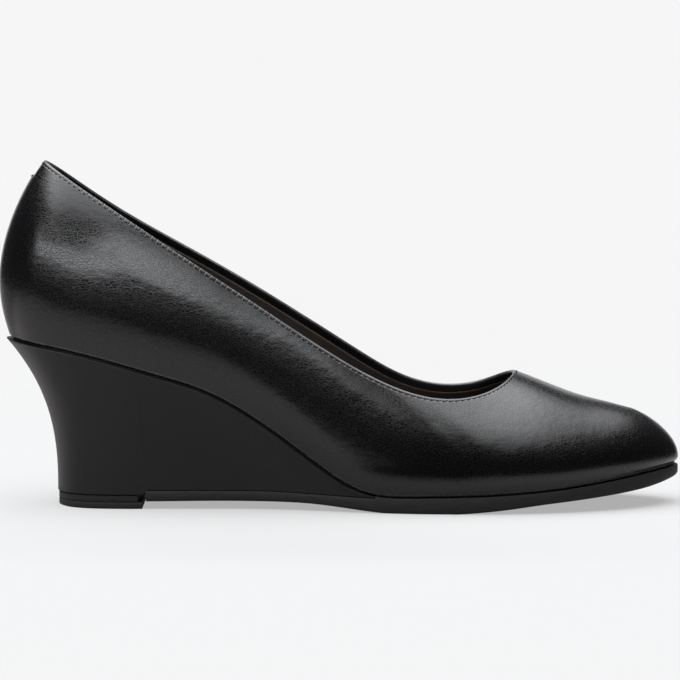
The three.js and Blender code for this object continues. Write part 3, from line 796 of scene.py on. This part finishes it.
def sew(name, line, out, closed, **sizes):
    """Sews one row of stitches along a line and leaves it as a plain mesh."""
    mesh = bpy.data.meshes.new(name + "_path")
    count = len(line)
    edges = [(k, (k + 1) % count) for k in range(count if closed else count - 1)]
    mesh.from_pydata(line - SHOE_MIDDLE, edges, [])
    ways = mesh.attributes.new("out_way", "FLOAT_VECTOR", "POINT")
    ways.data.foreach_set("vector", np.asarray(out, np.float32).ravel())
    row = placed(name, mesh)
    maker = row.modifiers.new("sewing", "NODES")
    maker.node_group = sewn_row
    given = {item.name: item.identifier for item in sewn_row.interface.items_tree
             if item.in_out == "INPUT"}
    for key, value in sizes.items():
        maker[given[key]] = value
    maker[given["Finish"]] = thread_black
    row.update_tag()
    made = bpy.data.meshes.new_from_object(row.evaluated_get(bpy.context.evaluated_depsgraph_get()))
    row.modifiers.remove(maker)
    row.data = made
    made.name = name
    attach(row, "root")


sew("topline_stitches", seam, seam_out, True, Stitches=STITCH_COUNT, Length=STITCH_LENGTH,
    Thread=THREAD, Sink=-0.00012)

# A short bar of close stitches at the foot of the heel's tab locks the back of the collar.
BAR_WIDTH = 0.0030
BAR_BELOW = 0.0005
bar_across = np.linspace(-BAR_WIDTH / 2, BAR_WIDTH / 2, 9)
bar_place = crossing(1, float(topline_cut(np.array([0.0]), False)[0]),
                     lambda t: TAB_HEIGHT + BAR_BELOW - from_edge(last_point(0.0, t)))
bar_line = last_point(0.0, bar_place) + np.stack([0 * bar_across, bar_across, 0 * bar_across], -1)
sew("heel_bar_tack", bar_line, np.repeat(last_normal(0.0, bar_place)[None], 9, 0), False, Stitches=11,
    Length=0.00045, Thread=0.0008, Sink=-0.0001)

# The lining: thin dark brown pigskin, stitched inside the folded edge with its own cut edge left
# showing below the topline, and lasted under the foot with the upper.
LINING_DROP = 0.0032
LINING_IN = 0.00145
LINING_OUT = 0.0019
lining_edge = half_round(LINING_DROP, LINING_IN, LINING_OUT, 5)
# Its lighter edge colour is the cut edge's own tone and a painted highlight along that edge.
lining_brown = dressed("lining_brown", (0.011, 0.0065, 0.0038), (0.018, 0.0105, 0.0058),
                       (0.05, 0.035, 0.022), 0.62, 0.00003, 0.0009, stretch=1.5)
leather_goods(
    "upper_lining",
    shell_grids((lining_edge[0][0], LINING_IN), (lining_edge[-1][0], LINING_OUT), lining_edge,
                [(-LINING_IN - 0.0006, 0.0011)], [(-LINING_OUT - 0.0009, 0.0011)]),
    lining_brown, sharp=60,
)

# The wedge: a light block shaped to the seat above and to the ground below, hollow at its sides,
# wrapped in smooth matte covering. It is cemented under the lasted upper, and the joint shows as
# a narrow groove.
WEDGE_LIP = 0.0008
WEDGE_GROOVE = 0.0008
GROOVE_DEEP = 0.0024
WEDGE_ROUND = 0.0002
WEDGE_ROWS = 34
WEDGE_CURVE = 2.6
WEDGE_TIP = 0.00055
GLUE_LINE = 0.0003
WAIST_RISE = 0.0031
LIFT_HEIGHT = 0.0049
LIFT_FRONT = 0.0521
LIFT_SPACE = 0.0014
STEP_SOFT = 0.00006
# The sole thins from the waist forward: shares of its thickness, then of the last's length.
WAIST_THIN, WAIST_GAIN = 0.9, 0.25
WAIST_FRONT, WAIST_RUN = 0.56, 0.16
# How far the foot of the piece lies inside the feather edge, in even steps from heel to toe: shares
# of the length, then of the width on the outer and on the inner side.
TUCK = np.array([
    [0.0747, 0.000, 0.000], [0.0700, 0.040, 0.040], [0.0570, 0.059, 0.059], [0.0375, 0.066, 0.064],
    [0.0170, 0.064, 0.061], [0.0060, 0.061, 0.057], [0.0010, 0.058, 0.048], [0.0000, 0.037, 0.031],
    [0.0000, 0.008, 0.008],
])
tuck_rows = np.zeros((TOE_ROW + 1, 3))
tuck_rows[:len(TUCK)] = TUCK
tuck_x = round_last(tuck_rows[:, 0] * LAST_LENGTH)
tuck_y = round_last(tuck_rows[:, 1] * BALL_WIDTH, -tuck_rows[:, 2] * BALL_WIDTH)


def tread_edge(u, out):
    """Plan places of the edge that meets the ground, moved outwards."""
    nx, ny = outward(u)
    return np.stack([feather_x(u) + tuck_x(u) + nx * out, feather_y(u) + tuck_y(u) + ny * out], -1)


def at_height(plan, height):
    """Plan places with their height added."""
    return np.concatenate([plan, np.broadcast_to(height, plan.shape[:-1])[..., None]], -1)


def waist_top(x):
    """The height of the sole's upper face."""
    return FORE_LEVEL * (WAIST_THIN + WAIST_GAIN * grown(-x / LAST_LENGTH, -WAIST_FRONT, WAIST_RUN))


wedge_front = float(crossing(0.4 * LAST_LENGTH, 0.58 * LAST_LENGTH,
                             lambda x: WEDGE_TIP - (seat(x) - waist_top(x) - 2 * GLUE_LINE)))
wedge_row = float(crossing(6, 10, lambda w: feather_x(w) - wedge_front))
STEP_X = LIFT_FRONT + LIFT_SPACE / 2


def wedge_edge(u):
    """Rows from the joint's groove over a small rounding and down the hollow side."""
    foot = tread_edge(u, WEDGE_LIP)
    step = 1 / (1 + np.exp(-(foot[..., 0] - STEP_X) / STEP_SOFT))
    low = LIFT_HEIGHT * (1 - step) + waist_top(foot[..., 0]) * step + GLUE_LINE
    head = beside(u, WEDGE_LIP, -GLUE_LINE)
    groove = np.minimum(WEDGE_GROOVE, (head[..., 2] - low) * 0.2)
    round_ = np.minimum(WEDGE_ROUND, (head[..., 2] - low) * 0.1)
    rows = [beside(u, WEDGE_LIP - GROOVE_DEEP, -GLUE_LINE - drop) for drop in (0 * groove, groove)]
    for a in np.linspace(0, np.pi / 2, 4)[:-1]:
        back = round_ * (1 - math.sin(a))
        rows.append(beside(u, WEDGE_LIP - back, -GLUE_LINE - groove - round_ * (1 - math.cos(a))))
    start = head[..., 2] - groove - round_
    for f in np.linspace(0, 1, WEDGE_ROWS) ** 1.25:
        plan = head[..., :2] + (foot - head[..., :2]) * (1 - (1 - f) ** WEDGE_CURVE)
        rows.append(at_height(plan, start + (low - start) * f))
    return np.stack(rows, -2)


step_rows = [float(crossing(0, TOE_ROW / 2, lambda w: tread_edge(w, 0)[..., 0] - STEP_X - k * 0.0003))
             for k in (-1, -0.3, 0.3, 1)]
wedge_places = np.sort(np.concatenate([np.linspace(0, wedge_row, 150), step_rows]))
# Its edge colour, darker than the covering, is painted shade on its edges, the lip under the upper most of
# all.
covering_black = dressed("covering_black", (0.0012, 0.0012, 0.0014), (0.0024, 0.0024, 0.0026),
                         (0.0006, 0.0006, 0.0006), 0.44, 0.000012, 0.0006, shine=0.36)
wedge = leather_goods("wedge_block", slab_grids(wedge_places, wedge_edge), covering_black)
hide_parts("wedge")

# The outsole: moulded black rubber from the waist to the toe, thin under the arch, rounded at its
# lower edge and turned up at the toe. It is cemented to the wedge and to the lasted upper.
SOLE_EDGE = 0.0010
SOLE_ROUND = 0.0011
TREAD_FLAT = 0.0002
JOINT = 0.00008
# The tread's height in even steps from heel to toe: shares of the waist's rise, then of the toe's
# spring.
SOLE_WAIST = [0.90, 0.90, 0.90, 0.90, 0.91, 0.93, 0.95, 0.98, 1.00, 1.00, 0.98, 0.88, 0.60, 0.24] + [0] * 11
SOLE_TIP = [0] * 16 + [0.018, 0.096, 0.223, 0.380, 0.506, 0.627, 0.760, 0.940, 1.230]
sole_waist = fair_curve(np.array(SOLE_WAIST) * WAIST_RISE)
sole_tip = fair_curve(np.array(SOLE_TIP) * TOE_SPRING)


def tread(x):
    """The height of the sole's underside."""
    share = x / LAST_LENGTH * (len(SOLE_TIP) - 1)
    return np.maximum(0, sole_waist(share) + sole_tip(share) - TREAD_FLAT)


def sole_edge(u):
    """Rows down the sole's edge, from its small chamfer above to the rounding below."""
    w = np.minimum(u, 2 * TOE_ROW - u)
    rows = []
    chamfer = SOLE_ROUND * 0.26
    under_wedge = feather_x(w) < wedge_front + GLUE_LINE + JOINT / 2
    for out, down in ((-chamfer, 0), (-chamfer * 0.3, chamfer * 0.3), (0, chamfer)):
        p = tread_edge(u, SOLE_EDGE + out)
        high = np.where(under_wedge, waist_top(p[..., 0]), seat(p[..., 0]) - GLUE_LINE)
        rows.append(at_height(p, high - down))
    for a in np.linspace(0, np.pi / 2, 6):
        p = tread_edge(u, SOLE_EDGE - SOLE_ROUND * (1 - math.cos(a)))
        rows.append(at_height(p, tread(p[..., 0]) + SOLE_ROUND * (1 - math.sin(a))))
    return np.stack(rows, -2)


sole_row = float(crossing(0, TOE_ROW / 2, lambda w: tread_edge(w, 0)[..., 0] - LIFT_FRONT - LIFT_SPACE))
joint_rows = [float(crossing(6, 10, lambda w: feather_x(w) - wedge_front - GLUE_LINE - k))
              for k in (0.0, JOINT)]
sole_places = np.sort(np.concatenate([np.linspace(sole_row, TOE_ROW, 430), joint_rows]))
RIB_STEP = 0.0045
RIB_DEEP = 0.0004
RIB_SHARE, RIB_SLOPE = 0.62, 0.2
RIB_BORDER, BORDER_SLOPE = 0.09, 0.03
RIBS_FROM, RIBS_TO, RIBS_FADE = 0.064, 0.232, 0.002


def tread_ribs(under, share):
    """Fine cross grooves moulded in the underside, inside a plain border."""
    under = under.copy()
    x, across = under[..., 0], share[..., 0] + 0 * under[..., 0]
    groove = grown(np.abs((x / RIB_STEP) % 1 - 0.5) * 2, RIB_SHARE, RIB_SLOPE)
    border = grown(0.5 - np.abs(across - 0.5), RIB_BORDER, BORDER_SLOPE)
    ends = grown(x, RIBS_FROM, RIBS_FADE) * grown(-x, -RIBS_TO, RIBS_FADE)
    under[..., 2] += RIB_DEEP * groove * border * ends
    return under


sole_rubber = dressed("sole_rubber", (0.0016, 0.0016, 0.0017), (0.0030, 0.0030, 0.0031),
                      (0.006, 0.006, 0.006), 0.56, 0.00002, 0.0005, shine=0.38)
outsole = leather_goods("outsole_rubber", slab_grids(sole_places, sole_edge, tread=tread_ribs, across=31),
                        sole_rubber)
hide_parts("outsole")

# The heel's top piece: two layers of hard black rubber, the lower one a little longer, pinned and
# cemented under the back of the wedge.
LIFT_INSET = 0.0004
LIFT_STEP = 0.0017
LIFT_TREAD = 0.0024
LIFT_SOFT = 0.00035
LIFT_GAP = 0.00005


def lift_layer(name, front, low, high):
    """One layer of the top piece, softened at both edges."""
    bevel = ((-LIFT_SOFT, 0), (-LIFT_SOFT * 0.3, LIFT_SOFT * 0.3), (0, LIFT_SOFT))

    def edge(u):
        levels = [(out, high - down) for out, down in bevel] + [(out, low + up) for out, up in bevel[::-1]]
        return np.stack([at_height(tread_edge(u, WEDGE_LIP - LIFT_INSET + out), level)
                         for out, level in levels], -2)

    end = float(crossing(0, TOE_ROW / 2, lambda w: tread_edge(w, 0)[..., 0] - front))
    return leather_goods(name, slab_grids(np.linspace(0, end, 70), edge), lift_rubber)


lift_rubber = dressed("lift_rubber", (0.0014, 0.0014, 0.0015), (0.0026, 0.0026, 0.0027),
                      (0.004, 0.004, 0.004), 0.6, 0.00002, 0.0005, shine=0.38)
lift_tread = lift_layer("heel_lift_tread", LIFT_FRONT, 0.0, LIFT_TREAD)
lift_layer("heel_lift_layer", LIFT_FRONT - LIFT_STEP, LIFT_TREAD + LIFT_GAP, LIFT_HEIGHT)
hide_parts("heel_lift")

# The studio: a pale round table that fades into the backdrop, a white card beside the heel and
# broad soft boxes. The leather mirrors the table, so it fades for mirrored rays on a slant of its
# own, and plainly for the camera.
bpy.context.scene.view_settings.view_transform = "Standard"
PAPER = 0.92
PAPER_GLOW = 0.42
SPOKES = 96
RINGS = [0.3, 0.6, 0.9, 1.3]
spoke_turns = [2 * math.pi * k / SPOKES for k in range(SPOKES)]
verts = [(0, 0, 0)] + [(r * math.cos(a), r * math.sin(a), 0) for r in RINGS for a in spoke_turns]
faces = [(0, 1 + k, 1 + (k + 1) % SPOKES) for k in range(SPOKES)]
for ring in range(len(RINGS) - 1):
    for k in range(SPOKES):
        a, b = 1 + ring * SPOKES + k, 1 + ring * SPOKES + (k + 1) % SPOKES
        faces.append((a, a + SPOKES, b + SPOKES, b))
floor_mesh = bpy.data.meshes.new("floor")
floor_mesh.from_pydata(verts, [], faces)
floor = placed("floor", floor_mesh)


def bare_tree(owner):
    """The nodes of a material or a world, all cleared away."""
    owner.use_nodes = True
    owner.node_tree.nodes.clear()
    return owner.node_tree


paper = bpy.data.materials.new("studio_paper")
tree = bare_tree(paper)
looked_at = node(tree, "ShaderNodeLightPath").outputs["Is Camera Ray"]
spot = node(tree, "ShaderNodeTexCoord").outputs["Object"]
far = node(tree, "ShaderNodeVectorMath", {0: spot}, operation="LENGTH").outputs["Value"]
seen_fade = ramp(tree, far, 0.1, 1.0, blend="SMOOTHERSTEP")
table = node(tree, "ShaderNodeSeparateXYZ", {0: spot}).outputs
nearer = maths(tree, "MULTIPLY", table[1], -1.0)
heelward = maths(tree, "MULTIPLY", table[0], -1.0)
table_start = ramp(tree, table[0], -0.09, -0.01, 0.12, 0.045, "LINEAR")
table_waist = ramp(tree, table[0], -0.09, -0.01, 0.50, 0.07, "LINEAR")
table_toe = ramp(tree, table[0], 0.04, 0.065, 0.0, 0.04, "LINEAR")
table_fade = ramp(tree, nearer, table_start, maths(tree, "ADD", table_waist, table_toe))
screened = maths(tree, "MULTIPLY", ramp(tree, table[1], 0.06, 0.16, 0.0, 0.65),
                 ramp(tree, heelward, 0.15, 0.25))
for side_fade in (ramp(tree, heelward, 0.40, 1.05), ramp(tree, table[0], 0.12, 0.27, 0.0, 0.7), screened):
    table_fade = maths(tree, "MAXIMUM", table_fade, side_fade)
fade = node(tree, "ShaderNodeMix", {0: looked_at, 2: table_fade, 3: seen_fade})
paper_tone = mixed(tree, looked_at, (0.345, 0.325, 0.32, 1), (0.19, 0.19, 0.19, 1))
matte = node(tree, "ShaderNodeBsdfDiffuse", {"Color": paper_tone})
paper_glow = ramp(tree, looked_at, 0.0, 1.0, 0.0, PAPER_GLOW, "LINEAR")
lit = node(tree, "ShaderNodeEmission", {"Strength": paper_glow})
sheet = node(tree, "ShaderNodeAddShader", {0: matte.outputs[0], 1: lit.outputs[0]})
clear = node(tree, "ShaderNodeBsdfTransparent")
shown = node(tree, "ShaderNodeMixShader", {0: fade.outputs[0], 1: sheet.outputs[0], 2: clear.outputs[0]})
node(tree, "ShaderNodeOutputMaterial", {"Surface": shown.outputs[0]})
floor_mesh.materials.append(paper)

# The card stands just out of the picture. Its columns: place along the shoe, then lower and upper
# edge. It fades over these shares of its length, then of its height.
CARD = [(-0.560, 0.225, 0.360), (-0.224, 0.133, 0.190), (-0.124, 0.104, 0.168), (-0.088, 0.102, 0.180),
        (-0.045, 0.090, 0.235), (0.040, 0.090, 0.235)]
CARD_FADES = ((0, 0.0, 0.45), (0, 1.0, 0.84), (1, 0.1, 0.24), (1, 1.0, 0.6))
CARD_AWAY = -0.185
CARD_SHINE = 5.5
LAMP_TONE = (0.97, 0.98, 1.0, 1)
card_mesh = bpy.data.meshes.new("side_card")
card_mesh.from_pydata([(x, CARD_AWAY, z) for x, low, high in CARD for z in (low, high)], [],
                      [(2 * k, 2 * k + 1, 2 * k + 3, 2 * k + 2) for k in range(len(CARD) - 1)])
card_chart = card_mesh.uv_layers.new(name="card_chart")
for loop in card_mesh.loops:
    x = CARD[loop.vertex_index // 2][0]
    card_chart.data[loop.index].uv = ((x - CARD[0][0]) / (CARD[-1][0] - CARD[0][0]), loop.vertex_index % 2)
card = placed("side_card", card_mesh)
card.visible_camera = False
shine = bpy.data.materials.new("card_shine")
tree = bare_tree(shine)
card_spot = node(tree, "ShaderNodeUVMap", uv_map="card_chart")
axes = node(tree, "ShaderNodeSeparateXYZ", {0: card_spot.outputs[0]}).outputs
level = CARD_SHINE
for axis, start, stop in CARD_FADES:
    level = maths(tree, "MULTIPLY", level, ramp(tree, axes[axis], start, stop))
lamp = node(tree, "ShaderNodeEmission", {"Color": LAMP_TONE, "Strength": level})
nothing = node(tree, "ShaderNodeBsdfTransparent")
rear = node(tree, "ShaderNodeNewGeometry").outputs["Backfacing"]
one_sided = node(tree, "ShaderNodeMixShader", {0: rear, 1: lamp.outputs[0], 2: nothing.outputs[0]})
node(tree, "ShaderNodeOutputMaterial", {"Surface": one_sided.outputs[0]})
card_mesh.materials.append(shine)

PANEL_SHAPE = ("Middle Right", "Middle Up", "Half Width", "Half Height", "Side Edge", "End Edge",
               "Strength")


def soft_box_group():
    """A soft-edged panel of light far away: how bright the studio is that way."""
    ways = ("Facing", "Right", "Up")
    tree, given, out = group_of(
        "ShaderNodeTree", "soft_box",
        {**dict.fromkeys(ways, "NodeSocketVector"), **dict.fromkeys(PANEL_SHAPE, 1.0)}, {"Light": 0.0})
    looked = node(tree, "ShaderNodeTexCoord").outputs["Generated"]
    dots = [node(tree, "ShaderNodeVectorMath", {0: looked, 1: given[way]},
                 operation="DOT_PRODUCT").outputs["Value"] for way in ways]
    ahead = maths(tree, "MAXIMUM", dots[0], 0.02)
    light = maths(tree, "GREATER_THAN", dots[0], 0.03)
    for flat, middle, half, edge in ((dots[1], "Middle Right", "Half Width", "Side Edge"),
                                     (dots[2], "Middle Up", "Half Height", "End Edge")):
        off = maths(tree, "SUBTRACT", maths(tree, "DIVIDE", flat, ahead), given[middle])
        past = maths(tree, "SUBTRACT", maths(tree, "ABSOLUTE", off), given[half])
        soft = maths(tree, "DIVIDE", past, given[edge])
        light = maths(tree, "MULTIPLY", light, ramp(tree, soft, -1.0, 1.0, 1.0, 0.0))
    tree.links.new(maths(tree, "MULTIPLY", light, given["Strength"]), out["Light"])
    return tree


# Azimuth from the camera's side (0) towards the toe (90), elevation, then the panel's middle,
# half sizes and soft edges as shares of its distance, and its strength.
SOFT_BOXES = [
    (0, 90, -0.295, 0.0, 0.825, 1.0, 0.25, 0.9, 5.9),
    (180, 5, 0.0, 0.0, 0.45, 0.22, 0.12, 0.12, 0.7),
]
STUDIO_DIM = 0.05
soft_box = soft_box_group()
world = bpy.data.worlds.new("studio")
bpy.context.scene.world = world
tree = bare_tree(world)
total = STUDIO_DIM
for azimuth, elevation, *shape in SOFT_BOXES:
    a, e = math.radians(azimuth), math.radians(elevation)
    facing = Vector((math.sin(a) * math.cos(e), -math.cos(a) * math.cos(e), math.sin(e)))
    right = Vector((math.cos(a), math.sin(a), 0))
    panel = node(tree, "ShaderNodeGroup", {"Facing": facing, "Right": right, "Up": facing.cross(right),
                                           **dict(zip(PANEL_SHAPE, shape))}, node_tree=soft_box)
    total = maths(tree, "ADD", total, panel.outputs[0])
seen = node(tree, "ShaderNodeLightPath").outputs["Is Camera Ray"]
glow = node(tree, "ShaderNodeBackground", {"Color": LAMP_TONE, "Strength": total})
backdrop = node(tree, "ShaderNodeBackground", {"Color": (PAPER, PAPER, PAPER, 1)})
either = node(tree, "ShaderNodeMixShader", {0: seen, 1: glow.outputs[0], 2: backdrop.outputs[0]})
node(tree, "ShaderNodeOutputWorld", {"Surface": either.outputs[0]})
